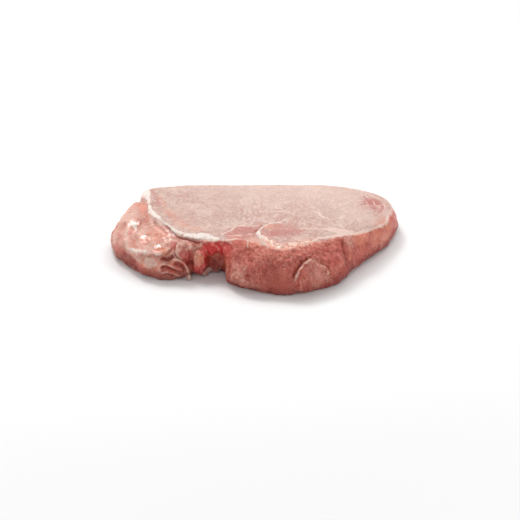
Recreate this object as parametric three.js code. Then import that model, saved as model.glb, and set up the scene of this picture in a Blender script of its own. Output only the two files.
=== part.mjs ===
// A raw boneless pork chop: one thick slice through a bundle of muscles, lying on its cut face.
// Millimetres, +Z up. X runs along the slice, Y from its thick front wall to its back edge.
// The origin is under the middle of its bounding box, on the surface it lies on.
import * as THREE from 'three';

// ---- driving dimensions ----
const THICKNESS = 24.5; // of the slice at the loin eye
const EDGE_ROUND = 4; // how far inside the outline the cut face starts to roll over
const BELLY_HEIGHT = 5; // height at which the wall stands out furthest
const FOOT_TUCK = 3.5; // how far the underside lies inside that

const FACE_RINGS = 18; // rings on the cut face, from its middle to where it rolls over
const WALL_RINGS = 12; // rings over the rim and down the wall
const FOOT_RINGS = 3; // rings round the lower edge
const UNDER_RINGS = 6; // rings across the underside
const SLICES = 118; // vertices round the outline

// The rim of the cut face, anticlockwise from the right tip: x, y, and how far the wall below
// stands out from it. Close points are corners, and far ones leave a long smooth curve.
const RIM = [
  [89.5, 26, 1.5], [88, 37, 1.5], [81, 44, 2], // right tip
  [66, 45.8, 2], [39, 47.5, 2], [-11, 47.5, 2], [-51, 46, 2], // back
  [-71.5, 41, 2], [-72.5, 33, 2], // corner of fat
  [-78, 29, 3], [-85.5, 17, 4], [-87, 3, 4], [-81, -10.5, 4.5], [-69, -21, 5.5], // tail lobe
  [-57, -24.5, 6.5], [-45, -24, 6], [-39, -20.5, 4], // its front and inner side
  [-28, -21, 6.5], [-17, -22.5, 8], // the hollow between the lobe and the front muscle
  [-8, -28, 12], [3, -31, 14.5], [18, -34, 15], [33, -28, 17.5], // front muscle
  [49, -19, 15], [61, -12.5, 6.5], [74, -2, 3], [83.3, 11, 2.8], // front of the sirloin end
];
const MIDDLE = { x: -31, y: 5 }; // every point of the rim can be seen from here
const PEAK = { x: 18, y: -25, height: 2, spread: 15 }; // the front muscle stands up at its rim
const TAPER = { from: 41, to: 87, drop: 8.5 }; // the slice thins towards the right tip
// The loin eye is straight at its left and round below, and slants back to the left. The tail
// lobe lies outside its lower left side, lower than the eye and falling away from it.
const EYE = { x: -30, y: 16, rx: 36, ry: 39, slant: -0.2 };
const LOBE = { height: 22, drop: 9, reach: 25, step: 6, end: -36, fade: 8 };
const SEAM = { depth: 1.3, width: 4 }; // the crease where the lobe leaves the eye

const smooth = THREE.MathUtils.smoothstep;
const rimCurve = new THREE.CatmullRomCurve3(RIM.map((point) => new THREE.Vector3(...point)), true);

// Height of the cut face above the underside.
function faceHeight(x, y) {
  const thinning = Math.max(0, (x - TAPER.from) / (TAPER.to - TAPER.from));
  const rise = Math.exp(-(((x - PEAK.x) ** 2) + ((y - PEAK.y) ** 2)) / (2 * PEAK.spread ** 2));
  const slab = THICKNESS - TAPER.drop * thinning ** 2 + PEAK.height * rise;
  const across = (x - EYE.x - EYE.slant * (y - EYE.y)) / EYE.rx;
  const below = Math.min(y - EYE.y, 0) / EYE.ry;
  const past = (Math.hypot(across, below) - 1) * EYE.rx;
  const left = 1 - smooth(x, LOBE.end, LOBE.end + LOBE.fade);
  const lobe = LOBE.height - LOBE.drop * (Math.max(0, past) / LOBE.reach) ** 2;
  const crease = SEAM.depth * Math.exp(-(((past - LOBE.step) / SEAM.width) ** 2));
  return THREE.MathUtils.lerp(slab, lobe, smooth(past, 0, LOBE.step) * left) - crease * left;
}

// The surface point of one ring on one slice. Rings run from the middle of the cut face out over
// the rim and down the wall as a quarter of an ellipse, and round the lower edge to the middle of
// the underside.
function surfacePoint(slice, ring) {
  const along = rimCurve.getUtoTmapping(slice / SLICES);
  const rim = rimCurve.getPoint(along);
  const tangent = rimCurve.getTangent(along).setZ(0).normalize();
  const outward = new THREE.Vector2(tangent.y, -tangent.x);
  const lean = rim.z;
  const at = (out, z) => new THREE.Vector3(rim.x + outward.x * out, rim.y + outward.y * out, z);

  const edge = at(-EDGE_ROUND, 0);
  const top = faceHeight(edge.x, edge.y);
  if (ring <= FACE_RINGS) {
    const reach = ring / FACE_RINGS;
    const x = THREE.MathUtils.lerp(MIDDLE.x, edge.x, reach);
    const y = THREE.MathUtils.lerp(MIDDLE.y, edge.y, reach);
    return new THREE.Vector3(x, y, faceHeight(x, y));
  }
  const wallRing = ring - FACE_RINGS;
  if (wallRing <= WALL_RINGS) {
    const turn = (wallRing / WALL_RINGS) * (Math.PI / 2);
    const out = (EDGE_ROUND + lean) * Math.sin(turn) - EDGE_ROUND;
    return at(out, THREE.MathUtils.lerp(BELLY_HEIGHT, top, Math.cos(turn)));
  }
  const footRing = wallRing - WALL_RINGS;
  if (footRing <= FOOT_RINGS) {
    const turn = (footRing / FOOT_RINGS) * (Math.PI / 2);
    return at(lean - FOOT_TUCK * (1 - Math.cos(turn)), BELLY_HEIGHT * (1 - Math.sin(turn)));
  }
  const inward = (footRing - FOOT_RINGS) / UNDER_RINGS;
  return at(lean - FOOT_TUCK, 0).lerp(new THREE.Vector3(MIDDLE.x, MIDDLE.y, 0), inward);
}

// A sphere's grid of vertices, moved to the surface of the slice.
function chopGeometry() {
  const rings = FACE_RINGS + WALL_RINGS + FOOT_RINGS + UNDER_RINGS;
  const geometry = new THREE.SphereGeometry(1, SLICES, rings);
  const position = geometry.getAttribute('position');
  for (let index = 0; index < position.count; index += 1) {
    const slice = index % (SLICES + 1);
    const ring = Math.floor(index / (SLICES + 1));
    const point = surfacePoint(slice % SLICES, ring);
    position.setXYZ(index, point.x, point.y, point.z);
  }
  geometry.deleteAttribute('uv');
  geometry.computeVertexNormals();
  geometry.computeBoundingBox();
  const middle = geometry.boundingBox.getCenter(new THREE.Vector3());
  return geometry.translate(-middle.x, -middle.y, 0);
}

const meat = new THREE.MeshStandardMaterial({ color: 0xd9a295, roughness: 0.45, metalness: 0 });
const chop = new THREE.Mesh(chopGeometry(), meat);
chop.name = 'pork_chop';

const group = new THREE.Group();
group.add(chop);

export default group;
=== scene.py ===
import math

import bpy
import numpy as np
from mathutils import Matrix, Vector


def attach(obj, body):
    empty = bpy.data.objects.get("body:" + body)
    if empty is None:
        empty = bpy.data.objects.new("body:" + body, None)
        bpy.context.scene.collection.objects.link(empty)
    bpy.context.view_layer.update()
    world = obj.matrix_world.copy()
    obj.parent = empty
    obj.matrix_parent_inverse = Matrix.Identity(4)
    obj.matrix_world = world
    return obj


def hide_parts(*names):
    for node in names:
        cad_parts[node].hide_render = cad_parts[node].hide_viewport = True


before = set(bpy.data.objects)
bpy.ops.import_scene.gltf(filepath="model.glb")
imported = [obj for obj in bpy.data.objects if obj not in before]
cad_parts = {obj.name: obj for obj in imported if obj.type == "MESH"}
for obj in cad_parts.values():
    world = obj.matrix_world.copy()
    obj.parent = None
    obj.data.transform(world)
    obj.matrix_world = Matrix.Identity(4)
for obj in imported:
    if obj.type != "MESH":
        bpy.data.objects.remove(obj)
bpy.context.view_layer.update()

MM = 0.001


# ---- The slice ----
# One thick slice across a bundle of muscles, cut flat above and below. It starts as the solid of
# the frame, merged, with the small swellings of the tail lobe and the hollow grown onto it, and is
# remeshed as one skin.

VOXEL = 0.58  # millimetres between the vertices of the new skin
SETTLE = 7  # rounds of smoothing after the remesh

# Middle, half sizes along, across and up, then how far it is turned down towards +X and about
# the vertical, in degrees
SWELLINGS = {
    "drop in the hollow": ((-34.9, -25.4, 10.0), (4.9, 4.9, 8.4), 6, 0),
    "leaf beside the drop": ((-44.4, -24.4, 15.0), (3.4, 4.4, 7.4), -16, 0),
    "left jelly": ((-28.9, -26.6, 3.2), (2.6, 2.2, 2.6), 0, 0),
    "middle jelly": ((-24.2, -27.6, 4.6), (2.9, 2.0, 3.2), 20, 0),
    "upper jelly": ((-29.6, -26.2, 8.4), (1.9, 1.8, 2.4), 0, 0),
    "crumb of fat": ((-41.3, -30.4, 1.9), (1.8, 1.6, 1.9), 0, 0),
}

bpy.ops.object.select_all(action="DESELECT")
chop = bpy.data.objects.new("raw_pork_chop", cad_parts["pork_chop"].data.copy())
bpy.context.scene.collection.objects.link(chop)
chop.data.materials.clear()
swellings = []
for middle, half, tilt, turn in SWELLINGS.values():
    bpy.ops.mesh.primitive_uv_sphere_add(segments=28, ring_count=16, radius=1)
    lump = bpy.context.object
    lump.location = [value * MM for value in middle]
    lump.scale = [value * MM for value in half]
    lump.rotation_euler = (0, math.radians(tilt), math.radians(turn))
    bpy.ops.object.transform_apply()
    swellings.append(lump)

bpy.ops.object.select_all(action="DESELECT")
for piece in (chop, *swellings):
    piece.select_set(True)
bpy.context.view_layer.objects.active = chop
bpy.ops.object.mode_set(mode="EDIT")
bpy.ops.mesh.select_all(action="SELECT")
bpy.ops.mesh.remove_doubles(threshold=0.01 * MM)
bpy.ops.object.mode_set(mode="OBJECT")
bpy.ops.object.join()

remesh = chop.modifiers.new("one skin", "REMESH")
remesh.mode = "VOXEL"
remesh.voxel_size = VOXEL * MM
bpy.ops.object.modifier_apply(modifier=remesh.name)
settle = chop.modifiers.new("settle", "SMOOTH")
settle.factor = 0.5
settle.iterations = SETTLE
bpy.ops.object.modifier_apply(modifier=settle.name)

# The underside lies flat, so it keeps only a coarse net of faces.
FLAT_ZONE = 0.25
under = chop.vertex_groups.new(name="under")
low = [vertex.index for vertex in chop.data.vertices if vertex.co.z < FLAT_ZONE * MM]
under.add(low, 1.0, "REPLACE")
thin = chop.modifiers.new("thin underside", "DECIMATE")
thin.vertex_group = under.name
thin.ratio = 0.68
bpy.ops.object.modifier_apply(modifier=thin.name)
chop.vertex_groups.clear()

# What follows reads each vertex's place and direction in millimetres, and gathers how far it
# stands out and what covers it there.
count = len(chop.data.vertices)
flat = np.zeros(count * 3)
chop.data.vertices.foreach_get("co", flat)
place = flat.reshape(-1, 3) / MM
chop.data.vertex_normals.foreach_get("vector", flat)
facing = flat.reshape(-1, 3).copy()
lift = np.zeros(count)  # ridges, folds and grooves
sway = np.zeros(count)  # soft unevenness
relief = np.zeros(count)  # fine unevenness, whose pits are redder and whose tops are paler

# The coverings, each from 0 to 1 at every vertex. "cut" is the flat faces, "pale" their paler back,
# which is painted sheen, "arcs" the rings of the loin eye and "marble" its flecks of fat. "rind" is
# the fat of the back edge, "bead" and "crumbly" are crumbs of fat, "film" is thin
# white skin and also painted highlights on the back rim, the lobe's outer edge and the drop, and
# painted light on the tip's wall. "veil" is cloudy skin and also painted light at the
# foot of the front wall and on the tip's wall. "flush" and "warm" are redder meat,
# "dusk" is darker meat and also painted shade in creases, in the hollow and at the
# foot of the walls, and "calm" is where the grain is weak.
COVERINGS = (
    "cut", "tail", "fat", "film", "blood", "flush", "warm", "bead", "veil", "crumbly", "dusk", "wet",
    "marble", "arcs", "pale", "rind", "calm",
)
cover = {name: np.zeros(count) for name in COVERINGS}


def smooth(value, low, high):
    share = np.clip((value - low) / (high - low), 0, 1)
    return share * share * (3 - 2 * share)


def lumps(points, size, seed):
    """Soft lumps of a given size in millimetres, from -1 to 1 at each point."""
    lattice = np.random.default_rng(seed).uniform(-1, 1, (32, 32, 32))
    cell = np.floor(points / size).astype(int)
    part = points / size - cell
    part = part * part * (3 - 2 * part)
    total = np.zeros(len(points))
    for corner in np.ndindex(2, 2, 2):
        share = np.prod(np.where(corner, part, 1 - part), axis=1)
        x, y, z = ((cell + corner) % 32).T
        total += share * lattice[x, y, z]
    return total


# Every line drawn on the meat wanders a little.
WANDER = 0.8
FINE_WANDER = 0.35
wandered = place + WANDER * np.stack([lumps(place, 5, seed) for seed in (1, 2, 3)], axis=1)
wandered += FINE_WANDER * np.stack([lumps(place, 1.9, seed) for seed in (4, 5, 6)], axis=1)

# The flat faces are cut across the grain, pale and marbled, and the walls are the outsides of
# the muscles. The tail lobe has no cut face of its own.
FRONT_RIM = np.array([
    (-36, -20.5), (-20, -21.6), (-13, -22.4), (-8, -21.6), (-3, -25.2), (1, -28.2), (5, -31.2),
    (10, -32.4), (14, -34.2), (19, -35), (24, -33.4), (30, -29.4), (36, -26), (47, -20.6), (56, -15),
    (62, -11.8), (70, -6.6), (76, -0.8), (80, 4.4), (84, 13.5), (86, 20), (92, 40),
]).T
EYE_X, EYE_Y = -30, 16  # middle of the loin eye
EYE_ALONG, EYE_ACROSS = 36, 39  # its half sizes
EYE_SLANT = 0.2  # how far it slants back to the left
THICKNESS = 24.5
THINNING = 8.5  # how much thinner the slice is at its right tip
THIN_FROM, THIN_TO = 41, 87

x, y, z = place.T
wx, wy, _ = wandered.T
across = (x - EYE_X + EYE_SLANT * (y - EYE_Y)) / EYE_ALONG
below = np.minimum(y - EYE_Y, 0) / EYE_ACROSS
past_eye = (np.hypot(across, below) - 1) * EYE_ALONG
slab = THICKNESS - THINNING * np.clip((x - THIN_FROM) / (THIN_TO - THIN_FROM), 0, 1) ** 2
fringe = 1.1 * lumps(place * (1, 1, 0.6), 2.4, 61) + 0.7 * lumps(place, 1.3, 62)
on_top = smooth(z - slab, -5, -2.5) * smooth(facing[:, 2], 0.5, 0.85)
on_top *= smooth(wy + fringe - np.interp(wx, *FRONT_RIM), -1.8, 0.9)
on_table = smooth(-facing[:, 2], 0.8, 0.95)
tail = smooth(past_eye, 1.5, 4.5) * smooth(-x, 34, 38) * smooth(facing[:, 2], -0.9, -0.6)
wall = 1 - smooth(np.abs(facing[:, 2]), 0.45, 0.85)
front = smooth(-y, 10, 20) * (1 - on_top) * (1 - tail)
cover["tail"] = tail
cover["cut"] = np.maximum(on_top * (1 - tail), on_table)
cover["marble"] = cover["cut"] * (0.2 + 0.8 * smooth(x, -14, 8))
# painted sheen: the cut faces turn paler towards their back
cover["pale"] = on_top * smooth(y + 0.3 * x, 5, 50)


# ---- The tail lobe ----
# A lower, looser muscle wrapped in wet skin. Its middle is a soft plateau with a white edge that
# ends in a fold, and below the fold are a patch of fat and small leaves of meat.

DEPTH = 6  # a line marks only the skin within this depth of it
REACH = 12  # vertices further than this from a line's box aren't looked at
STEPS = 6  # from one point of a line to the next


def trace(points):
    """Follows a smooth line through a few points, each x, y, z and half width. For the vertices
    near it: their numbers, distance along the skin, half width there, side (1 is left of the line
    seen from outside) and place along it from 0 to 1."""
    knots = np.array(points, float)
    ends = np.vstack([2 * knots[0] - knots[1], knots, 2 * knots[-1] - knots[-2]])
    line = []
    for a, b, c, d in zip(ends, ends[1:], ends[2:], ends[3:]):
        for t in np.linspace(0, 1, STEPS, endpoint=False):
            line.append(b + 0.5 * t * (c - a + t * (2 * a - 5 * b + 4 * c - d
                                                    + t * (3 * b - a - 3 * c + d))))
    line = np.array([*line, ends[-2]])
    inside = (wandered > line[:, :3].min(0) - REACH) & (wandered < line[:, :3].max(0) + REACH)
    near = np.where(inside.all(axis=1))[0]
    here, out = wandered[near], facing[near]
    best = np.full(len(near), 1e3)
    width, side, part = np.ones(len(near)), np.ones(len(near)), np.zeros(len(near))
    for number, (start, end) in enumerate(zip(line, line[1:])):
        span = end[:3] - start[:3]
        share = np.clip((here - start[:3]) @ span / max(span @ span, 1e-9), 0, 1)
        gap = here - start[:3] - share[:, None] * span
        depth = np.einsum("ij,ij->i", gap, out)
        distance = np.linalg.norm(gap - depth[:, None] * out, axis=1)
        distance += 100 * smooth(np.abs(depth), DEPTH - 1, DEPTH)
        closer = distance < best
        best[closer] = distance[closer]
        width[closer] = (start[3] + share * (end[3] - start[3]))[closer]
        turn = np.einsum("ij,ij->i", np.cross(span, gap), out)
        side[closer] = np.where(turn > 0, 1, -1)[closer]
        part[closer] = ((number + share) / (len(line) - 1))[closer]
    return near, best, width, side, part


def cover_with(name, value, near=slice(None)):
    """Covers all the vertices, or only the near ones, where they aren't covered more already."""
    cover[name][near] = np.maximum(cover[name][near], value)


def paint(name, points, strength, edge=0.7):
    """Covers a band along a line, full in its middle and fading over a share of its width."""
    near, distance, width, _, _ = trace(points)
    patchy = 1 - 0.5 * smooth(lumps(place[near], 3.5, 7), 0.0, 0.8)
    cover_with(name, strength * patchy * smooth(width - distance, 0, edge * width), near)


def fading(part, share=0.15):
    """1 along a line, fading to 0 over a share of its length at each end."""
    return smooth(np.minimum(part, 1 - part), -0.001, share)


def ridge(points, height):
    """Raises the meat along a line, or cuts a groove where the height is negative."""
    near, distance, width, _, part = trace(points)
    lift[near] += height * fading(part) * np.exp(-((distance / width) ** 2))


def groove(points, depth, shade="dusk", strength=0.85):
    """A crevice cut along a line, with painted shade in it in the given colour."""
    ridge(points, -depth)
    near, distance, width, _, part = trace(points)
    cover_with(shade, strength * fading(part) * np.exp(-((distance / (1.2 * width)) ** 2)), near)


def flap(points, height, drop, skin="film", strength=0.8, shade=0.8):
    """The free edge of a layer: it stands up left of a line, under a pale skin, and a crevice with
    painted shade in it runs along its other side."""
    near, distance, width, side, part = trace(points)
    ends = fading(part, 0.14)
    signed = distance * side
    lift[near] += height * ends * np.exp(-np.maximum(signed, 0) / width) * smooth(signed, -0.5, 0.5)
    crevice = ends * np.exp(-((signed + 1.0) ** 2))
    lift[near] -= drop * crevice
    cover_with("dusk", shade * crevice, near)
    patchy = 1 - 0.7 * smooth(lumps(place[near], 2.6, 8), -0.1, 0.6)
    cover_with(skin, strength * ends * patchy * np.exp(-(((signed - 0.5) / 0.8) ** 2)), near)


def moved(points, width, along=0, across=0, up=0):
    """The same line, moved over and with one half width all along it."""
    return [(px + along, py + across, pz + up, width) for px, py, pz, _ in points]


def wider(points, more):
    return [(px, py, pz, width + more) for px, py, pz, width in points]


def spot(middle, half):
    """A rounded patch: 1 in its middle, fading to 0 at its half sizes."""
    share = 1 - (((wandered - middle) / half) ** 2).sum(axis=1)
    return smooth(share, 0, 0.8)


def dab(*patches):
    """Covers rounded patches, each a name, its middle, its half sizes and its strength."""
    for name, middle, half, strength in patches:
        cover_with(name, strength * spot(middle, half))


def torn(points, size, seed):
    """Ragged strands: sharp pits between rounded ridges, from -1 to 1."""
    coarse = np.abs(lumps(points, size, seed)) * 3 - 1
    fine = np.abs(lumps(points, size / 2, seed + 1)) * 3 - 1
    return np.clip(0.6 * coarse + 0.5 * fine, -1, 1)


# a swelling runs round the lobe beside the crease
lift += 2.1 * tail * np.exp(-(((past_eye - 5.5) / 4) ** 2)) * smooth(facing[:, 2], 0.6, 0.9)

# the plateau, its white edge, the fold at its end and the patch of fat below it
OUTER_EDGE = [
    (-74, 27, 20, 1.5), (-82, 19, 17, 1.5), (-87, 11, 15, 1.6), (-89, 4, 12, 1.6),
    (-88.6, -5, 10, 1.3),
]
PLATEAU_EDGE = [
    (-76, 8, 19.2, 2.2), (-79.9, 2.3, 17.3, 2.2), (-81, -1.3, 15.9, 2), (-81.1, -7.4, 15.1, 1.8),
    (-80.5, -12.3, 14, 2), (-78.4, -16.4, 13.4, 2.6), (-75.1, -19.4, 13.9, 3.2),
    (-70.7, -22.3, 14.9, 3), (-65.5, -25, 15.7, 1.6),
]
FOLD = [
    (-67.5, -24.8, 15, 2), (-65.1, -25.7, 15.2, 2), (-60.4, -26.5, 16.6, 2), (-56.5, -26.3, 17.9, 2),
    (-53.8, -25.1, 19, 1.8), (-52.2, -22.6, 20.2, 1.6),
]
UNDER_FOLD = [
    (-59, -28.2, 15, 1.2), (-57.2, -28.7, 15, 1.6), (-53.3, -29, 15.2, 1.7), (-49.8, -28, 16.6, 1.5),
]
ridge(moved(PLATEAU_EDGE, 3.4), 1.3)
flap(FOLD, 1.5, 0.9, "fat", 0.62, 0.3)
groove(UNDER_FOLD, 1.7, "dusk", 0.95)
paint("film", wider(PLATEAU_EDGE, 0.4), 0.6, 1)
paint("veil", wider(PLATEAU_EDGE, 2), 1, 1)
# the pale band along the lobe's outer edge is partly a painted highlight
paint("film", OUTER_EDGE, 0.6, 1)
paint("fat", [(-77.8, 8.5, 18.4, 1.4), (-76.3, 4.7, 18.8, 2.4), (-75, 0.5, 18.8, 1.2)], 0.95)
paint("fat", [(-76.8, -17, 13.8, 1.8), (-72.6, -20, 14.8, 3), (-68, -22.6, 15.6, 1.8)], 0.6, 1)
dab(
    ("film", (-65.9, -28.3, 10.9), (7, 5, 5), 0.6),
    ("film", (-41.3, -31, 2), (3, 3, 3), 0.8),
    ("veil", (-66, -28, 10.5), (9, 6, 7), 1),
    ("veil", (-84, 0, 12), (8, 22, 6), 0.7),
)

# the small leaves: a bud of two thin layers, and a longer leaf lying over its right
BUD_RIM = [
    (-58.6, -31.2, 5.6, 1), (-59.5, -30.8, 7.4, 1), (-59.5, -30.6, 9.6, 1), (-57.2, -30.2, 11.6, 1),
    (-54.1, -30.6, 11.8, 1), (-51, -30.9, 10.9, 1), (-47.9, -31.1, 8.8, 1), (-45, -30.6, 5.9, 0.9),
]
BUD_LIP = [
    (-58.1, -31.3, 5.6, 0.8), (-54.2, -31.6, 6.9, 0.9), (-50.3, -31.7, 5.6, 0.9),
    (-45.4, -30.2, 2.8, 0.7),
]
LONG_LEAF = [
    (-51.5, -29.2, 14.2, 0.9), (-49.4, -29.4, 14.2, 1), (-46.3, -29.4, 13.2, 1), (-44, -29.6, 10.7, 1),
    (-41.8, -29.4, 6.9, 1), (-41, -28.6, 4.2, 0.8),
]
ridge(BUD_RIM, 1.0)
paint("film", moved(BUD_RIM, 0.7), 0.52)
groove(moved(BUD_RIM[2:], 1.1, along=0.5, up=-2.2), 1.4, "dusk", 0.75)
ridge(BUD_LIP, 1.2)
paint("film", BUD_LIP, 0.6)
paint("flush", moved(BUD_LIP, 1.8), 0.7)
groove(moved(BUD_LIP[:3], 0.8, up=-1.9), 0.9, "dusk", 0.7)
ridge(LONG_LEAF, 1.3)
paint("film", moved(LONG_LEAF, 0.7), 0.6)
groove(moved(LONG_LEAF[1:5], 1, along=-1.3, up=-1.6), 1.4, "dusk", 0.9)
groove([(-46, -29, 15.2, 1.1), (-42.6, -28.8, 12.4, 1.1), (-40.2, -28, 8, 1)], 1.2, "dusk", 0.7)
dab(
    ("flush", (-52, -31, 9), (9, 5, 5), 0.95),
    ("warm", (-50, -30, 12.5), (5, 5, 3), 0.7),
)

# a long leaf stands between the tail and the hollow, with a dark cleft at its right
STANDING_LEAF = [
    (-44.9, -20.5, 21.6, 1.6), (-48, -22.4, 20, 1.6), (-48.9, -24.6, 19, 1.6),
    (-48.7, -26.6, 17.8, 1.6), (-47.1, -28.4, 15.4, 1.5), (-43.8, -28.7, 13.2, 1.2),
]
CLEFT = [
    (-41.6, -23.6, 19, 1.1), (-40.9, -25, 17.1, 1.4), (-40.4, -26.8, 12.7, 1.6),
    (-39.8, -26.8, 9, 1.6), (-39, -26.2, 4.8, 1.4),
]
MEMBRANE = [
    (-40.9, -22.4, 21, 2.2), (-37.6, -22.8, 18.8, 3), (-35.6, -22.5, 19.4, 2.4),
    (-33.5, -22.2, 20.8, 1.4),
]
flap(STANDING_LEAF, 1.0, 1.0, "film", 0.75, 0.5)
groove(CLEFT, 1.6, "blood", 0.5)
paint("warm", MEMBRANE, 0.8)
paint("film", MEMBRANE, 0.5, 1)
paint("film", [(-38.4, -24, 15.4, 0.6), (-35, -23.8, 16.2, 0.8), (-32.8, -25.2, 14.2, 0.6)], 0.5)
# the dark dabs here are painted shade in the cleft beside the leaf
dab(
    ("dusk", (-44, -25.8, 17.6), (3.6, 4.8, 5.4), 0.34),
    ("dusk", (-46.5, -26.4, 16.6), (3, 4.4, 4), 0.2),
    ("flush", (-43.6, -27, 13), (4, 5, 8), 1),
    ("flush", (-44.6, -26.5, 15.5), (4, 5, 6), 0.9),
    ("flush", (-51, -22, 19), (3, 5, 5), 0.7),
    ("blood", (-41.6, -26, 12), (3, 5, 6), 0.3),
)

# the rest of its skin: cloudy at the back, warm in front, redder and darker low down
dab(
    ("veil", (-77, 17, 18), (12, 12, 8), 1),
    ("film", (-79, 15, 17), (11, 11, 7), 0.42),
    ("warm", (-70.5, 19.2, 21.7), (6, 6.5, 4), 0.75),
    ("warm", (-58, -25, 17.8), (6, 4, 3), 0.9),
    ("warm", (-60, -10, 21), (9, 9, 5), 0.55),
    ("warm", (-69, -12, 18.6), (6, 6, 5), 0.45),
    ("warm", (-66, -28, 9), (10, 6, 7), 0.85),
    ("warm", (-48, -30, 8), (10, 6, 8), 0.4),
    ("warm", (-82, -19, 7), (12, 12, 7), 0.75),
    ("flush", (-85, -8, 8), (7, 18, 5), 0.7),
    ("flush", (-74, -25, 4), (18, 10, 7), 0.9),
    ("dusk", (-74, -26, 3), (19, 11, 7), 0.25),
)
# wet places, whose fine swellings catch the light
dab(
    ("wet", (-53.7, -13.4, 21.7), (6.5, 6.5, 5), 1),
    ("wet", (-76.3, 3, 18.6), (5, 10, 5), 1),
    ("wet", (-68.7, -11.7, 18.8), (6, 5, 5), 1),
    ("wet", (-60.4, -22.9, 18.7), (4, 4, 4), 1),
    ("wet", (-42, -21, 21), (6, 4, 4), 1),
    ("wet", (-66, -8, 19), (18, 18, 6), 0.4),
    ("wet", (-52, -29, 10), (12, 6, 8), 0.5),
)
sway += tail * (1.1 * lumps(place, 9, 21) + 0.8 * lumps(place, 4.5, 22))
lift -= 2.4 * spot((-84, -20, 4), (15, 14, 12))
relief += tail * (0.22 * lumps(place, 2.3, 23) + 0.1 * torn(place * (1, 0.6, 0.8), 3.2, 24))
relief += cover["wet"] ** 2 * tail * (0.22 * lumps(place, 3.4, 26) + 0.16 * lumps(place, 2, 27))


# ---- The hollow ----
# Between the tail and the front muscle the edge is hollow, with fresh blood under the rim, and
# clear jelly and a drop-shaped lump at its left.

HOLLOW = ((-22.2, -25.5, 5), (10.8, 11, 15))
HOLLOW_PUSH = 6.5  # how far back its middle lies
HOLLOW_RIM = [
    (-33.5, -21.8, 21.6, 1.2), (-28, -21.4, 23, 1.4), (-20.5, -21.8, 23.2, 1.4),
    (-14.5, -23.6, 23.4, 1.2),
]
JELLY = [
    (-37, -26, 2.4, 1.6), (-33, -27, 2.6, 1.8), (-29.6, -27.4, 4, 2), (-26, -27.6, 2.8, 2),
    (-22, -27.6, 4, 1.8),
]
BESIDE_DROP = [
    (-31.4, -24, 18, 1.1), (-29.8, -25.4, 15.6, 1.4), (-29, -26.5, 12, 1.5), (-28.8, -27.3, 8, 1.4),
]


def haze(middle, half):
    """A patch that fades away softly and has no edge: 1 in its middle."""
    return np.exp(-2 * (((place - middle) / half) ** 2).sum(axis=1))


ridge(HOLLOW_RIM, 0.9)
paint("film", HOLLOW_RIM, 0.4)
fresh = haze((-23.4, -23.6, 18.6), (12, 9, 8)) * (1.1 + 0.4 * lumps(place * (1, 1, 0.35), 2.4, 54))
cover_with("blood", fresh * (1 - on_top))
# painted shade at the bottom of the hollow
cover_with("dusk", 1.3 * haze((-23, -24, 2), (13, 16, 14)) * (1 - on_top))
paint("film", JELLY, 1, 1)
paint("wet", JELLY, 1, 1)
ridge(JELLY, 1.2)
for strand in (
    [(-21.6, -23.2, 22.4, 0.7), (-20, -24.6, 20.6, 0.8), (-19, -25.8, 18, 0.7), (-17, -27, 15, 0.6)],
    [(-26.6, -23.4, 21.6, 0.6), (-23.6, -24.6, 19.8, 0.7), (-22.4, -26, 17.6, 0.6)],
):
    ridge(strand, 0.7)
    paint("film", strand, 0.36)
groove(BESIDE_DROP, 1.8, "blood", 0.8)
# the pale dab is a painted highlight on the drop's top, and the dark ones are painted shade beside the
# drop, in the hollow and at the drop's foot
dab(
    ("blood", (-30.6, -24, 17.6), (3.2, 5, 6), 1),
    ("blood", (-34.4, -29, 6), (6, 7, 7), 0.55),
    ("dusk", (-29.6, -24, 17), (3, 5, 6), 0.5),
    ("dusk", (-23, -24, 15.4), (8, 7, 4.4), 0.42),
    ("dusk", (-34, -29, 5), (6, 8, 7), 0.7),
    ("flush", (-35, -28, 8), (7, 8, 9), 1),
    ("warm", (-35.6, -28, 15), (5.4, 8, 5), 1),
    ("film", (-36, -26, 16.6), (4, 5, 3.6), 0.34),
    ("wet", (-25, -25, 15), (17, 10, 14), 0.32),
    ("wet", (-35, -28, 11), (4.5, 5, 8), 0.8),
)


# ---- The front muscle ----
# Its outside bulges below the rim, stringy and torn above, calm in its middle. A loose leaf of
# meat hangs on its right half, and a crease ends it at its right.

lift += 1.6 * spot((-4, -40, 10), (13, 12, 10)) + 1.2 * spot((30, -42, 9), (15, 12, 9))
lift -= 1.2 * spot((10, -46, 14), (9, 10, 12))

LEAF_EDGE = [
    (45.5, -41.6, 5.7, 2.6), (45.6, -40.1, 12.1, 2.6), (43.4, -39.3, 15.7, 2.6), (40.3, -39.2, 18, 2.6),
    (35.6, -38.3, 20.9, 2.6), (32.5, -40.6, 20.3, 2.6), (29.4, -43.1, 18.7, 2.4),
    (26.3, -46, 15.5, 2.2), (23.2, -48.4, 10.2, 2),
]
flap(LEAF_EDGE[:5], 1.2, 0.7, "film", 0.4, 0.25)
flap(LEAF_EDGE[4:], 1.9, 1.5, "film", 0.75, 0.85)
paint("crumbly", moved(LEAF_EDGE[:6], 3.2), 1, 1)
dab(
    ("veil", (38, -42, 10), (10, 8, 9), 0.55),
    ("veil", (37, -40, 17), (8, 6, 5), 0.8),
    ("dusk", (30, -40, 19.5), (3, 5, 3), 0.6),
)

RIGHT_CREASE = [
    (54.6, -18.4, 23, 2), (55.3, -25.2, 19.1, 2.2), (57.2, -27.2, 13.9, 2.4), (56.6, -30.6, 9, 2.2),
]
groove(RIGHT_CREASE, 1.7, "dusk", 0.32)
# the dark dab low down is painted shade at the foot of the wall
dab(
    ("film", (59, -16.6, 21), (6, 5, 4), 0.3),
    ("veil", (59, -18, 20), (5, 6, 6), 0.9),
    ("flush", (48, -32, 19), (9, 8, 7), 0.8),
    ("dusk", (54, -30, 3), (22, 14, 12), 0.8),
)

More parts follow.
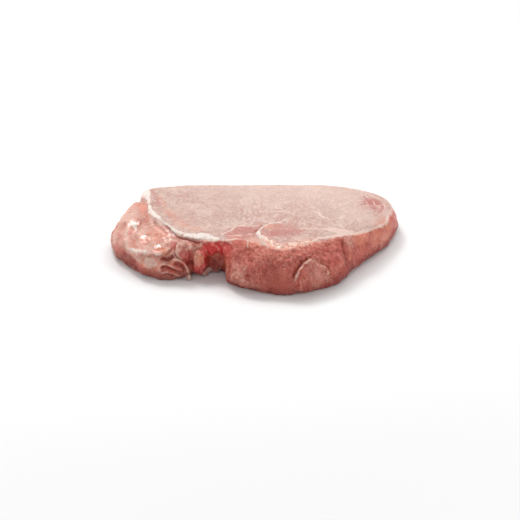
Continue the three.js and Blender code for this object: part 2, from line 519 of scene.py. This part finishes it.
# a small pit on the left half, a short cleft at the foot, and a string that hangs over the rim
WALL_STRING = [(-4.3, -23, 25, 0.8), (-3.8, -27, 24.9, 0.9), (-3.4, -30.4, 24, 0.8)]
groove([(9.5, -46, 1, 1.8), (9.3, -48.4, 3, 1.6), (9, -49, 6, 1.2)], 1.0, "dusk", 0.6)
lift -= 1.3 * spot((-3.8, -42.9, 12.4), (3, 4, 2.2))
# the dark dab in the pit is painted shade, and the pale veil at the foot of the wall is painted light
# thrown up from the table
dab(
    ("flush", (-3.8, -42.9, 12.4), (4, 4, 3.4), 1),
    ("dusk", (-3.8, -42.9, 12.1), (2.2, 4, 1.8), 0.4),
    ("veil", (-9, -39, 12), (9, 11, 9), 0.25),
    ("veil", (-4, -43, 5), (14, 10, 5), 0.4),
)
ridge(WALL_STRING, 0.5)
paint("film", WALL_STRING, 0.5)

under_rim = smooth(z, 17, 21) * front * smooth(x, -6, 2) * (1 - smooth(x, 48, 56))
cover_with("crumbly", 0.22 * under_rim)
cover_with("crumbly", 0.75 * haze((-8, -40, 10), (9, 12, 9)) * front)
cover_with("flush", (0.42 + 0.3 * lumps(place, 5, 51)) * front * smooth(z, 13, 21))
cover_with("dusk", 0.34 * front * smooth(z, 14, 21))
cover["calm"] = np.minimum(1, 1.2 * haze((14, -48, 9), (13, 16, 11))) * front
grain_lean = place @ np.array([(1, 0, 0.5), (0, 1, 0), (-0.2, 0, 0.45)])
rough_front = front * (1 - 0.7 * cover["calm"])
relief += rough_front * (0.42 * torn(grain_lean, 3.8, 71) + 0.36 * lumps(place, 2.6, 73))
sway += front * (0.7 * lumps(place, 7, 72) + 0.4 * lumps(place, 4, 75))


# ---- The seam of fat and the back edge ----
# A seam of white fat runs from the back left corner round the loin eye, and the tail lobe leaves
# the slice along the crease under it. The back edge was trimmed, which left a thin uneven layer
# of fat on it.

CREASE = [
    (-61.5, 5, 24.2, 0.6), (-58.7, 0, 24.2, 0.7), (-55.6, -6, 24, 0.8), (-52.6, -11, 23.6, 0.8),
    (-48.1, -16.4, 22.9, 0.9), (-41.9, -19.6, 23, 0.9), (-37, -21, 22, 0.9), (-33.2, -22.2, 21, 0.7),
]
groove(CREASE, 1.2, "dusk", 0.7)
for band, strength in (
    ([(-71, 39, 22, 5), (-69.5, 33, 23, 4.6), (-68.4, 26, 24, 1.6), (-66.8, 18, 24, 1.5),
      (-65.4, 12.6, 24.2, 3.2), (-63.8, 9, 24.3, 2.9), (-61.2, 4.4, 24.3, 2.2),
      (-58.6, 0.2, 24.3, 1.1), (-56, -4, 24.4, 0.8)], 1),
    ([(-56.4, -2.6, 24.4, 0.8), (-53, -6.4, 24.5, 1.2), (-50.4, -9.4, 24.4, 1)], 0.9),
    ([(-52, -9.6, 24.4, 1.6), (-47.6, -13, 24.3, 2.4), (-41.6, -15.8, 24.2, 2.9), (-36, -17, 24.2, 3.2),
      (-31, -17, 24.2, 3.8), (-27, -18, 24.2, 3), (-23, -20, 24, 1.6)], 0.85),
    ([(-36, -15, 24.4, 1.5), (-32.4, -14.6, 24.4, 2), (-29, -15.6, 24.4, 1.6)], 1),
):
    paint("fat", band, strength, 0.9)

BACK_RIM = [
    (-68, 41, 22, 2.6), (-58, 44, 22.5, 2.2), (-40, 45.8, 22.5, 1.8), (0, 46, 22.5, 1.8),
    (36, 45.4, 22.5, 1.8), (66, 41.5, 20, 1.8), (82, 35, 16.5, 1.6),
]
# the thin skin along the back rim is partly a painted highlight
paint("film", BACK_RIM, 0.6, 1)
back = smooth(y + 5 * lumps(place, 9, 49) + 2 * lumps(place, 3, 50), 18, 38) * (1 - tail)
back *= 1 - smooth(np.abs(facing[:, 2]), 0.65, 0.95)
thinner = lumps(place * (1, 1, 1.6), 13, 43) + 0.5 * lumps(place * (1, 1, 2), 5, 44)
cover["rind"] = back * (0.5 + 0.5 * smooth(thinner, -0.8, 0.3))


# ---- The loin eye and the muscles beside it ----
# The eye is the smooth round muscle at the left, with faint rings at its right. Redder muscles
# lie in front of it, and the front muscle shows as an island with a skin and a beaded rim.

RING_GAP = 3.4
rings = smooth(np.cos(past_eye * 2 * math.pi / RING_GAP + 3.5 * lumps(place, 10, 41)), 0.1, 1)
ring_zone = smooth(x, -38, -26) * smooth(-past_eye, 1, 5) * smooth(past_eye, -20, -12) * on_top
cover["arcs"] = rings * ring_zone * smooth(lumps(place, 3.4, 42), -0.3, 0.5) * (1 - smooth(y, 20, 34))
relief += 0.1 * cover["arcs"]
EYE_EDGE = [
    (-61, 28, 24.5, 2.6), (-57, 16, 24.5, 4), (-52, 5, 24.5, 5), (-46.5, -2.5, 24.5, 5.5),
    (-39.5, -8, 24.5, 4.6), (-31, -10, 24.5, 2),
]
paint("warm", EYE_EDGE, 0.42, 1)
paint("flush", [(-66, 37, 24.5, 2.8), (-63, 29, 24.5, 3.4), (-62.5, 19, 24.5, 2.8)], 0.5, 1)

# the redder muscles, parted by thin white skins
RED_TOP = [
    (-20.5, -17, 24.6, 0.9), (-15.6, -10.6, 24.6, 1), (-12.5, -6.6, 24.6, 1), (-7, -5.6, 24.8, 1),
    (0.6, -6.2, 25, 0.9),
]
for patch, strength in (
    ([(-17, -14.6, 24.6, 3), (-13, -11.6, 24.7, 4.4), (-8.4, -10.4, 24.9, 4), (-3.1, -11, 25, 3.4)], 0.85),
    ([(-15, -16.6, 24.6, 3.4), (-6, -17.4, 24.8, 4.6), (-1.4, -18.6, 25, 3.4)], 0.75),
    ([(-17, -22.4, 23.6, 2.2), (-12.4, -22.6, 24.4, 2.6), (-6.9, -24.4, 24.8, 2.6)], 0.8),
):
    paint("flush", [(px, py, pz, 1.2 * width) for px, py, pz, width in patch], strength, 1)
paint("warm", [(-16, -20, 24.2, 3), (-8, -20.6, 24.6, 3.4), (-1, -23, 25, 3)], 0.6, 1)
paint("film", RED_TOP, 0.75)
paint("film", [(-16.5, -17, 24.6, 0.8), (-9, -17.4, 24.8, 0.9), (-2, -17, 25.1, 0.9)], 0.7)
paint("film", [(-18, -21.6, 23.6, 0.7), (-12, -21, 24.4, 0.9), (-8, -22.6, 24.7, 0.7)], 0.8)
groove([(-14.4, -14, 24.7, 0.9), (-9, -12.6, 24.8, 1), (-3, -13.6, 25, 0.9)], 0.5, "flush", 1)
groove(moved(RED_TOP, 0.8, across=-1.4), 0.5, "flush", 0.8)
dab(
    ("flush", (-8, -14.6, 24.8), (15, 11, 4), 0.68),
    ("dusk", (0.4, -11.8, 25.2), (1.6, 2.6, 3), 0.55),
)

# the island, and the skin along its far side
ISLAND = [
    (6, -22.4, 25.8, 1), (2.8, -18.3, 25.6, 1.3), (2, -13.5, 25.3, 1.4), (3.8, -8.9, 25.2, 1.4),
    (7.1, -5.6, 25.1, 1.2), (12.6, -2.6, 25.1, 1), (20.5, 1, 24.9, 0.8),
]
flap(moved(ISLAND[::-1], 2), 0.7, 0.7, "fat", 0.7, 0.35)
paint("fat", ISLAND, 0.8)
cover_with("flush", haze((14, -14, 25.5), (23, 13.4, 6)) * (0.85 + 0.5 * lumps(place, 6, 45)))
dab(
    ("warm", (10, -8.6, 25.5), (8, 4.4, 5), 0.42),
    ("warm", (-1, -27, 24.6), (8, 6, 4), 0.8),
    ("wet", (1, 2, 25), (7, 5, 5), 0.5),
)

# the beads of fat on the island's rim, and the warm band that rolls over below them
BEADS = [
    (4.5, -20.5, 25.8, 2), (8.2, -25, 26.1, 2.8), (12.5, -30, 26.3, 3.4), (18.6, -32, 26.2, 3.6),
    (24.9, -29, 26.2, 3.6), (30, -25.6, 26, 3), (36, -22.6, 25.5, 2),
]
paint("bead", BEADS, 1, 0.8)
paint("wet", wider(BEADS, 1), 0.5)
paint("warm", wider(BEADS, 2), 0.7, 1)
paint("warm", moved(BEADS[1:], 2.8, across=-2.6, up=-0.6), 1, 1)
relief += cover["bead"] * 1.3 * lumps(place, 1.7, 11)
RIM_BAND = [
    (-12, -23.6, 24, 2), (-8, -25, 24.2, 3), (-3, -29.6, 24.2, 3.6), (4, -34.4, 24.4, 3.6),
    (12, -37.4, 24.4, 3.2), (20, -38, 24.4, 3.2), (28, -34.8, 24.4, 3.2), (36, -29.6, 24.4, 3.2),
    (44, -24.4, 24, 3), (52, -20, 23.2, 2.4),
]
paint("warm", RIM_BAND, 0.5, 1)
paint("warm", moved(RIM_BAND[1:6], 3.4, across=-2, up=-2.5), 0.5, 1)
paint("flush", moved(RIM_BAND[2:], 4.5, across=-3, up=-4), 0.6, 1)
paint("bead", moved(RIM_BAND[6:], 1.8, across=2.2, up=0.8), 0.7, 1)


# ---- The sirloin end ----
# The right half is finely marbled. Its muscles meet in a pale knot of gristle with rays, and a
# thin pale skin follows its front rim to the tip, which carries a bruise.

for ray, strength in (
    ([(38, 11, 24.5, 1), (41.9, 6.8, 24.5, 1.3), (46.4, 2.2, 24.3, 1)], 0.9),
    ([(46.4, 2.2, 24.3, 1), (49, -1.5, 24.2, 1), (51, -6, 24.1, 0.8)], 0.4),
    ([(50, 1.4, 24, 0.8), (53.6, 5, 23.8, 1.1), (57, 8, 23.4, 0.8)], 0.95),
    ([(33, -3.8, 24.9, 0.9), (40.9, -5, 24.8, 1.3), (48.7, -7.3, 24.4, 1.6)], 0.45),
    ([(28, -12, 25.6, 0.9), (34.5, -10.6, 25.1, 1.4), (42, -9.6, 24.8, 2), (49, -9.6, 24.4, 2.6)], 0.55),
    ([(46, -10, 24.4, 2.6), (51, -10, 24.2, 4.2), (55.5, -11, 23.8, 4.6), (60, -10.6, 22.8, 3.4)], 1),
    ([(4.4, 10.5, 24.6, 0.9), (8, 14.5, 24.6, 1), (13, 16.5, 24.6, 0.8)], 0.5),
    ([(3, 12, 24.6, 0.7), (10, 10, 24.6, 0.8), (17, 11, 24.6, 1.1), (25, 9, 24.6, 0.8)], 0.6),
    ([(-4, 2, 24.6, 0.7), (6, 3.6, 24.6, 0.9), (16, 6.4, 24.6, 0.7)], 0.4),
    ([(62, 29, 22.7, 0.8), (58, 24, 23.2, 1), (53, 20, 23.8, 0.8)], 0.7),
    ([(56, -4, 23.8, 1), (63, 3, 22.6, 1), (70, 9, 21, 0.7)], 0.5),
):
    paint("film", ray, strength)
    ridge(moved(ray, 1.6), 0.2)
RIM_SKIN = [
    (36, -23.3, 25.4, 1.6), (47, -18.4, 24.4, 1.8), (56, -13.9, 23.4, 2), (61.1, -12, 22.4, 1.8),
    (69.2, -4.9, 20.7, 1.8), (77.4, 2.6, 18.2, 1.8), (82.6, 10.2, 17, 1.8), (84.6, 17, 16.8, 1.6),
]
paint("film", RIM_SKIN, 1, 0.9)
paint("bead", RIM_SKIN[3:], 0.35, 1)

# the wall below that skin is warm above, and painted shade darkens its foot
patchy_warmth = 0.65 + 0.5 * lumps(place * (1, 1, 0.6), 4.6, 53)
cover_with("warm", spot((80, 3, 13), (16, 18, 8)) * patchy_warmth)
patchy_flush = 0.42 + 0.6 * lumps(place * (1, 1, 0.5), 3.6, 52)
cover_with("flush", smooth(x, 56, 64) * wall * patchy_flush)
cover_with("crumbly", 0.4 * haze((80, 0, 9), (14, 18, 7)) * wall)
dab(
    ("veil", (82, 4, 14), (14, 18, 8), 0.5),
    ("flush", (65.5, -12, 18.6), (9, 7, 4.6), 0.5),
    ("flush", (76, -6, 6), (22, 20, 8), 0.8),
    ("warm", (65.5, -11.6, 18.8), (9, 7, 4.6), 1),
    ("dusk", (76, -8, 3), (22, 20, 7), 0.5),
)

# a bruise of small red veins near the back of the tip, under scraps of clear skin
patchy_tip = 0.8 + 0.5 * lumps(place, 7, 47)
cover_with("flush", 0.34 * on_top * smooth(x, 52, 80) * patchy_tip)
cover_with("flush", haze((76, 28.5, 20), (12.5, 10, 8)) * (0.95 + 0.9 * lumps(place, 3.2, 46)))
for vein in (
    [(70.5, 35, 20.8, 1.2), (72.5, 30, 20.6, 1.8), (73.6, 27, 20.2, 2), (76.5, 21.4, 19.4, 1.3)],
    [(65.6, 23.4, 22, 0.9), (69.5, 25.4, 21.4, 1.3), (72.7, 27.3, 20.5, 1.7), (80.2, 31.4, 18.3, 1.1)],
    [(78.6, 20.6, 19, 0.9), (80.6, 25.6, 18.4, 1.5), (82, 30, 17.6, 0.9)],
):
    paint("flush", [(px, py, pz, 1.5 * width) for px, py, pz, width in vein], 0.85, 1)
for scrap, strength in (
    ([(68, 30, 21.6, 0.6), (71, 28.6, 21, 0.8), (72, 24, 20.8, 0.7)], 0.6),
    ([(75.5, 31.5, 19.6, 0.6), (76.6, 28, 19.6, 0.8), (79.6, 27, 18.8, 0.6)], 0.7),
    ([(80.4, 33, 18, 0.5), (82.6, 29, 17.6, 0.8), (83, 25, 17.2, 0.6)], 0.7),
):
    paint("film", scrap, strength)

# the tip's wall lies under a soft pale skin, which is strongest at its rim; that skin is partly
# painted light, which brightens the wall
TIP_RIM = [(83.5, 15, 16.6, 1.6), (86.4, 23, 15.4, 2.2), (87, 31, 14.8, 2.4), (84, 39, 15, 1.8)]
TIP_WALL = [(88, 34, 12, 3.2), (90, 27, 11, 3.8), (88.6, 18, 10.5, 3.2)]
paint("film", TIP_RIM, 0.5, 1)
paint("film", TIP_WALL, 0.3, 1)
dab(
    ("flush", (86, 26, 12), (6, 12, 6), 0.5),
    ("veil", (89, 22, 12), (6, 16, 6), 0.9),
)


# ---- Grain and finish of the whole slice ----
# The muscle outside is stringy from top to bottom, and the cut faces are nearly flat. Pits are
# painted darker and redder as shade, and the tops of the grain paler.

stringy = place * (1, 1, 0.4)
outside = wall * (1 - tail) * (1 - front)
relief += outside * (1 - 0.7 * back) * (0.16 * torn(stringy, 3.2, 31) + 0.4 * lumps(place, 2.3, 33))
relief += on_top * (0.16 * lumps(place, 3.2, 35) + 0.16 * lumps(place, 1.8, 36))
relief += 0.15 * smooth(cover["fat"], 0.2, 0.8) * lumps(place, 2, 37)
relief += 0.6 * cover["crumbly"] * lumps(place, 1.7, 74)
sway += outside * (1.5 * lumps(place, 17, 30) + 0.8 * lumps(place, 7, 32) + 0.35 * lumps(place, 4, 48))
sway += on_top * 0.4 * lumps(place, 14, 34)

place += facing * ((lift + sway + relief) * (1 - on_table))[:, None]
hollow_share = smooth(spot(*HOLLOW) + 0.05 * lumps(wandered, 5, 38), 0.0, 1.05)
place[:, 1] += HOLLOW_PUSH * hollow_share
place[:, 2] = np.maximum(place[:, 2], 0)
chop.data.vertices.foreach_set("co", (place * MM).ravel())
# painted shade: darker in the grooves and towards the foot of the walls, less under thin skin
cover["deep"] = np.maximum(smooth(-lift, 0.7, 2.2), 0.95 * smooth(10 - z, 0, 7.5) * (1 - on_table))
cover["deep"] *= 1 - 0.85 * cover["film"]
# painted shade in the pits of the fine unevenness, and its tops paler
cover["pit"] = smooth(-relief, 0.05, 0.65)
cover["peak"] = smooth(relief, 0.05, 0.7)
for name, value in cover.items():
    attribute = chop.data.attributes.new(name, "FLOAT", "POINT")
    attribute.data.foreach_set("value", np.clip(value, 0, 1).astype(np.float32))
chop.data.update()
bpy.ops.object.select_all(action="DESELECT")
chop.select_set(True)
bpy.ops.object.shade_smooth()


# ---- The look of raw pork ----
# Moist lean with a fine network of pale grain, cream fat, clear skins and fresh blood. It is pale
# where it was cut and redder on its walls, and a clear wet coat makes the glints.

pork = bpy.data.materials.new("raw_pork")
pork.use_nodes = True
tree = pork.node_tree
tree.nodes.clear()


def put(kind, settings=None, **inputs):
    """Adds a node. An input takes a value or another node's output."""
    node = tree.nodes.new(kind)
    for name, value in (settings or {}).items():
        setattr(node, name, value)
    for name, value in inputs.items():
        socket = node.inputs[int(name[1:])] if name[0] == "_" else node.inputs[name.replace("_", " ")]
        if isinstance(value, bpy.types.NodeSocket):
            tree.links.new(value, socket)
        else:
            socket.default_value = value
    return node


def covered(name):
    return put("ShaderNodeAttribute", {"attribute_name": name}).outputs["Fac"]


def calc(operation, first, second):
    return put("ShaderNodeMath", {"operation": operation}, _0=first, _1=second).outputs[0]


def plus(first, second):
    return calc("ADD", first, second)


def times(first, *others):
    for other in others:
        first = calc("MULTIPLY", first, other)
    return first


def rest_of(share):
    return calc("SUBTRACT", 1.0, share)


def between(value, low, high):
    """0 below the low value, 1 above the high one, smooth between."""
    return put("ShaderNodeMapRange", {"interpolation_type": "SMOOTHSTEP"},
               Value=value, From_Min=low, From_Max=high).outputs["Result"]


def blend(share, first, second, kind="MIX"):
    return put("ShaderNodeMix", {"data_type": "RGBA", "blend_type": kind},
               _0=share, _6=first, _7=second).outputs[2]


here = put("ShaderNodeTexCoord").outputs["Object"]


def noise(scale, detail, rough=0.5, bent=0.0, where=here):
    return put("ShaderNodeTexNoise", Vector=where, Scale=scale, Detail=detail,
               Roughness=rough, Distortion=bent).outputs["Fac"]


def strands(lean_degrees, stretch):
    """Coordinates in which a texture becomes strands, leaning from the vertical along X."""
    return put("ShaderNodeMapping", {"vector_type": "POINT"}, Vector=here, Scale=(1, 1, stretch),
               Rotation=(0, math.radians(lean_degrees), 0)).outputs[0]


CUT_PALE = (0.66, 0.49, 0.42, 1)
CUT_PINK = (0.51, 0.29, 0.245, 1)
CUT_BACK_SHEEN = (0.70, 0.51, 0.445, 1)
WALL_PALE = (0.68, 0.18, 0.12, 1)
WALL_RED = (0.40, 0.045, 0.026, 1)
TAIL_PALE = (0.70, 0.42, 0.34, 1)
TAIL_RED = (0.56, 0.17, 0.11, 1)
THREAD = (0.84, 0.64, 0.56, 1)
PINK_THREAD = (0.82, 0.38, 0.30, 1)
VEIL_AND_LIGHT = (0.78, 0.40, 0.32, 1)
RIND = (0.84, 0.62, 0.53, 1)
FLUSH = (0.60, 0.11, 0.085, 1)
ROSE = (0.50, 0.15, 0.125, 1)  # the flush of a cut face
WARM = (0.78, 0.27, 0.16, 1)
DUSK_AND_SHADE = (0.35, 0.03, 0.015, 1)
BLOOD = (0.70, 0.012, 0.008, 1)
FILM_AND_LIGHT = (0.84, 0.64, 0.55, 1)
FAT = (0.87, 0.78, 0.71, 1)
TAN = (0.87, 0.63, 0.47, 1)
BEAD = (0.95, 0.76, 0.62, 1)
# the colour of the painted shade in grooves and at the foot of the walls
CREVICE_SHADE = (0.28, 0.028, 0.016, 1)
# the painted shade of pits
SHADED = (0.70, 0.36, 0.31, 1)  # what a pit keeps of the colour round it

on_cut = covered("cut")
on_wall = rest_of(on_cut)
calm = covered("calm")
wet = covered("wet")

# the lean, by where it is: the cut faces, the walls and the tail lobe
mottle = plus(times(noise(60, 4), 0.35), times(noise(280, 5, 0.7, 1.0), 0.65))
cut = blend(between(mottle, 0.40, 0.60), CUT_PINK, CUT_PALE)
# painted sheen: the cut face is paler towards its back
cut = blend(times(covered("pale"), 0.8), cut, CUT_BACK_SHEEN)
patches = between(noise(90, 4, 0.6), 0.36, 0.64)
fibre_left = noise(380, 4, 0.58, 1.4, strands(30, 0.26))
fibre_right = noise(380, 4, 0.58, 1.4, strands(-40, 0.24))
fibres = plus(times(fibre_left, patches), times(fibre_right, rest_of(patches)))
bundles = noise(190, 4, 0.6, 0.6, strands(15, 0.6))
wall_tone = plus(times(between(fibres, 0.38, 0.62), 0.45), times(between(bundles, 0.38, 0.62), 0.6))
restless = rest_of(times(calm, 0.7))
wall_tone = plus(times(wall_tone, restless), times(calm, 0.37))
walls = blend(wall_tone, WALL_RED, WALL_PALE)
tails = blend(between(noise(150, 4, 0.55, 1.0), 0.30, 0.66), TAIL_RED, TAIL_PALE)
lean = blend(on_cut, blend(covered("tail"), walls, tails), cut)

# pale threads of the grain: a fine net on the cut faces, and flecks of marbling
bend = put("ShaderNodeTexNoise", Vector=here, Scale=180.0, Detail=2.0).outputs["Color"]
bent = put("ShaderNodeVectorMath", {"operation": "MULTIPLY_ADD"}, _0=bend, _1=(0.004, 0.004, 0.004),
           _2=here).outputs[0]
cells = put("ShaderNodeTexVoronoi", {"feature": "DISTANCE_TO_EDGE"}, Vector=bent, Scale=430.0)
net = times(rest_of(between(cells.outputs["Distance"], 0.0, 0.16)), between(noise(150, 2), 0.45, 0.75))
flecks = between(noise(430, 4, 0.62, 1.4), 0.53, 0.66)
lean = blend(times(net, on_cut, 0.5), lean, THREAD)
lean = blend(times(flecks, covered("marble"), 0.75), lean, THREAD)
lean = blend(times(flecks, on_wall, restless, 0.34), lean, PINK_THREAD)
lean = blend(times(covered("arcs"), 0.55), lean, THREAD)

edge_noise = times(calc("SUBTRACT", noise(600, 4, 0.6), 0.5), 1.3)


def ragged(name, strength, low=0.15, high=0.7):
    """A covering whose edge is broken up by fine noise."""
    share = covered(name)
    rough = plus(share, times(edge_noise, between(share, 0.0, 0.3)))
    return times(between(rough, low, high), strength)


# what covers the lean, from the lowest layer to the top one
# cloudy skin, and also painted light at the foot of the front wall and on the tip's wall
meat = blend(times(covered("veil"), between(noise(260, 4, 0.6), 0.2, 0.7)), lean, VEIL_AND_LIGHT)
meat = blend(covered("rind"), meat, blend(between(noise(110, 4, 0.6), 0.35, 0.65), RIND, FAT))
meat = blend(ragged("flush", 0.88, 0.0, 0.95), meat, blend(on_cut, FLUSH, ROSE))
meat = blend(times(covered("warm"), between(noise(300, 4, 0.6), 0.05, 0.75)), meat, WARM)
# darker meat, and painted shade in creases, in the hollow and at the foot of the walls
meat = blend(ragged("dusk", 0.9, 0.0, 0.95), meat, DUSK_AND_SHADE)
meat = blend(ragged("blood", 0.97, 0.0, 0.9), meat, BLOOD)
# thin skin, and also painted highlights and painted light on the tip's wall
meat = blend(ragged("film", 0.75), meat, FILM_AND_LIGHT)
meat = blend(ragged("fat", 0.92), meat, FAT)
meat = blend(times(covered("crumbly"), between(noise(560, 3, 0.6), 0.48, 0.58), 0.75), meat, TAN)
meat = blend(times(covered("bead"), between(noise(520, 3, 0.6), 0.5, 0.59)), meat, BEAD)
# painted shade in the grooves and towards the foot of the walls
meat = blend(times(covered("deep"), 0.78), meat, CREVICE_SHADE)

# pits are painted darker and redder as shade, and peaks paler, in the skin's own relief and in a
# finer grain
fine = noise(780, 3, 0.58, 0.8)
even = calc("MAXIMUM", covered("fat"), covered("rind"))
even = calc("MAXIMUM", even, times(on_cut, 0.7))
even = calc("MAXIMUM", even, times(covered("tail"), 0.5))
patchy = plus(0.38, times(between(noise(130, 3, 0.6), 0.4, 0.62), 0.75))
grainy = times(rest_of(even), restless, patchy)
hole = times(rest_of(between(fine, 0.38, 0.50)), grainy)
peak = times(between(fine, 0.52, 0.64), grainy)
darker = calc("MAXIMUM", times(covered("pit"), grainy, 0.7), times(hole, 0.6))
paler = calc("MAXIMUM", times(covered("peak"), 0.3), times(peak, 0.3))
coloured = blend(darker, meat, SHADED, "MULTIPLY")
coloured = blend(paler, coloured, blend(on_cut, PINK_THREAD, THREAD))

# it is dull in patches, and its bumps are softer where it is wet
moist = between(noise(220, 4, 0.6), 0.38, 0.66)
roughness = calc("SUBTRACT", plus(0.33, times(moist, 0.24)), times(wet, 0.20))
height = plus(plus(noise(700, 4, 0.6), times(fine, 0.5)), times(fibres, on_wall))
height = plus(times(height, rest_of(times(wet, 0.85))), times(noise(420, 2, 0.45), wet, 0.4))
bumped = put("ShaderNodeBump", Strength=0.9, Distance=0.001, Height=height).outputs["Normal"]

surface = put("ShaderNodeBsdfPrincipled", Base_Color=coloured, Roughness=roughness, Normal=bumped,
              Coat_Normal=bumped, Coat_Weight=plus(0.08, times(wet, 0.9)))
surface.inputs["Coat Roughness"].default_value = 0.07
surface.inputs["Subsurface Weight"].default_value = 0.25
surface.inputs["Subsurface Radius"].default_value = (1.0, 0.35, 0.2)
surface.inputs["Subsurface Scale"].default_value = 0.0018
put("ShaderNodeOutputMaterial", Surface=surface.outputs["BSDF"])
chop.data.materials.append(pork)

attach(chop, "root")
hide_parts("pork_chop")

# ---- The table and the light ----
# A plain pale table in a white room. One wide soft light stands above and behind the slice with a
# soft box beside it, a light stands at each side, and a small one in front makes the glints.

bpy.ops.object.select_all(action="DESELECT")
bpy.ops.mesh.primitive_plane_add(size=8, location=(0, 0, -0.0001))
table = bpy.context.object
table.name = "pale_table"
pale = bpy.data.materials.new("pale_table")
pale.use_nodes = True
tree = pale.node_tree
top = tree.nodes["Principled BSDF"]
top.inputs["Base Color"].default_value = (0.86, 0.86, 0.86, 1)
top.inputs["Roughness"].default_value = 0.7
# Far from the chop the table is as white as the room, so that it has no far edge.
from_middle = put("ShaderNodeVectorMath", {"operation": "LENGTH"},
                  _0=put("ShaderNodeTexCoord").outputs["Object"]).outputs["Value"]
far = times(between(from_middle, 0.16, 0.42), put("ShaderNodeLightPath").outputs["Is Camera Ray"])
bright = put("ShaderNodeEmission", Color=(1, 1, 1, 1), Strength=1.0).outputs[0]
seen_top = put("ShaderNodeMixShader", _0=far, _1=top.outputs[0], _2=bright).outputs[0]
tree.links.new(seen_top, tree.nodes["Material Output"].inputs["Surface"])
table.data.materials.append(pale)


LIGHTS = {  # width, depth, power and place
    "wide soft light": (1.4, 0.5, 6.6, (0, 0.5, 0.75)),
    "soft box": (0.2, 0.2, 2.8, (-0.28, 0.5, 0.8)),
    "left side light": (0.5, 0.5, 2.0, (-1.0, -0.05, 0.35)),
    "right side light": (0.5, 0.5, 3.2, (1.0, -0.25, 0.55)),
    "front glint": (0.12, 0.12, 1.3, (-0.35, -0.85, 0.95)),
}
for name, (width, depth, power, stands_at) in LIGHTS.items():
    lamp = bpy.data.lights.new(name, "AREA")
    lamp.shape = "RECTANGLE"
    lamp.size = width
    lamp.size_y = depth
    lamp.energy = power
    light = bpy.data.objects.new(name, lamp)
    light.location = stands_at
    light.rotation_euler = Vector(stands_at).to_track_quat("Z", "Y").to_euler()
    bpy.context.scene.collection.objects.link(light)

room = bpy.data.worlds.new("white room")
room.use_nodes = True
light_tree = room.node_tree
glow = light_tree.nodes["Background"]
glow.inputs["Strength"].default_value = 0.35
white = light_tree.nodes.new("ShaderNodeBackground")
seen = light_tree.nodes.new("ShaderNodeLightPath")
pick = light_tree.nodes.new("ShaderNodeMixShader")
light_tree.links.new(seen.outputs["Is Camera Ray"], pick.inputs[0])
light_tree.links.new(glow.outputs[0], pick.inputs[1])
light_tree.links.new(white.outputs[0], pick.inputs[2])
light_tree.links.new(pick.outputs[0], light_tree.nodes["World Output"].inputs["Surface"])
for node in (glow, white):
    node.inputs["Color"].default_value = (1, 1, 1, 1)
bpy.context.scene.world = room
bpy.context.scene.view_settings.view_transform = "Standard"


# ---- The camera ----
# It stands well in front of the chop and looks down at the middle of its length through a long
# lens.

LOOKS_DOWN = 33  # degrees
camera = bpy.data.objects.new("camera", bpy.data.cameras.new("camera"))
camera.data.lens = 177.2
camera.location = (0.00316, -1.3657, 0.88218)
camera.rotation_euler = (math.radians(90 - LOOKS_DOWN), 0, 0)
bpy.context.scene.collection.objects.link(camera)
bpy.context.scene.camera = camera
